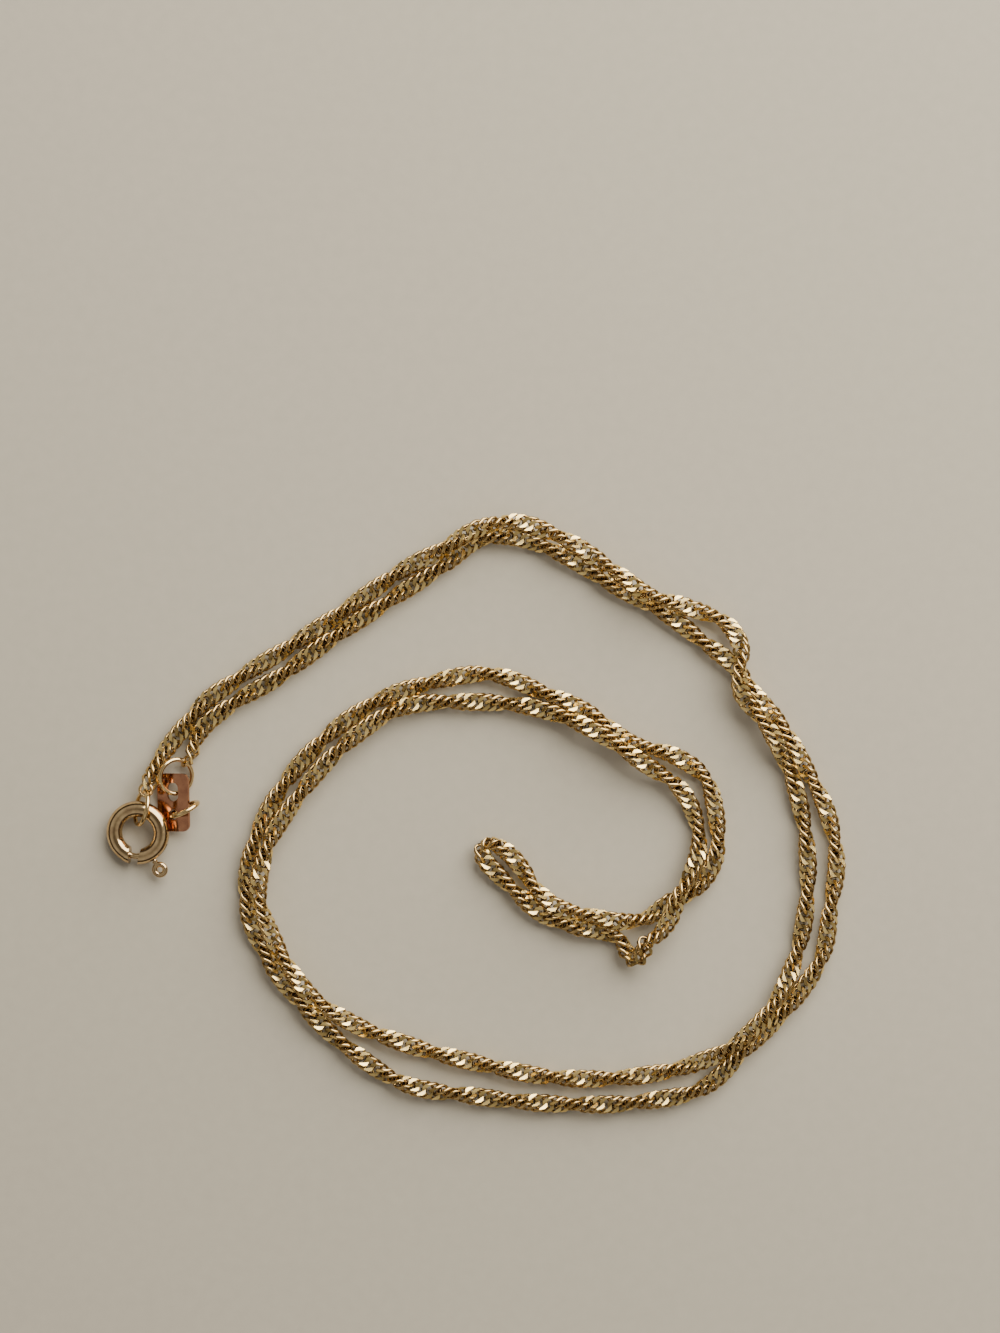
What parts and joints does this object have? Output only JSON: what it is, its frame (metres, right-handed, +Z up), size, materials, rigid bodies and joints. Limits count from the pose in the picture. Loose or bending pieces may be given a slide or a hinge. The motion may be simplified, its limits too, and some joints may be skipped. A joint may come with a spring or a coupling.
{
  "type": "necklace chain",
  "caption": "Fine twisted gold neck chain, unfastened, doubled and laid in a flat spiral, with a spring ring clasp at one end and a jump ring, tag and catch ring at the other.",
  "frame": {"origin": "on the surface that the chain lies on, under the middle of the whole object", "axes": "+X along the long side of the spiral, away from the clasp, +Y across it, away from the fold, +Z up from the surface"},
  "size_m": [0.0692, 0.0559, 0.0033],
  "materials": {
    "chain": "polished, diamond-cut gold",
    "clasp": "polished gold",
    "rings": "polished gold",
    "tag": "polished redder gold"
  },
  "bodies": {
    "necklace": {"chain_clasp_side": "chain", "chain_tag_side": "chain", "clasp_ring": "clasp", "clasp_link": "rings", "clasp_end_link": "rings", "tag_ring": "rings", "tag_end_link": "rings", "tag": "tag", "catch_ring": "rings"},
    "trigger": {"bolt": "clasp"}
  },
  "joints": [
    {"name": "trigger_slide", "type": "hinge", "parent": "necklace", "child": "trigger", "pos_m": [-0.03158, -0.00175, 0.00116], "axis": [-0.1198, -0.1006, 0.9877], "range_deg": [0, 34], "stiffness_Nm_per_rad": 0.001, "springref_deg": -22.92}
  ]
}
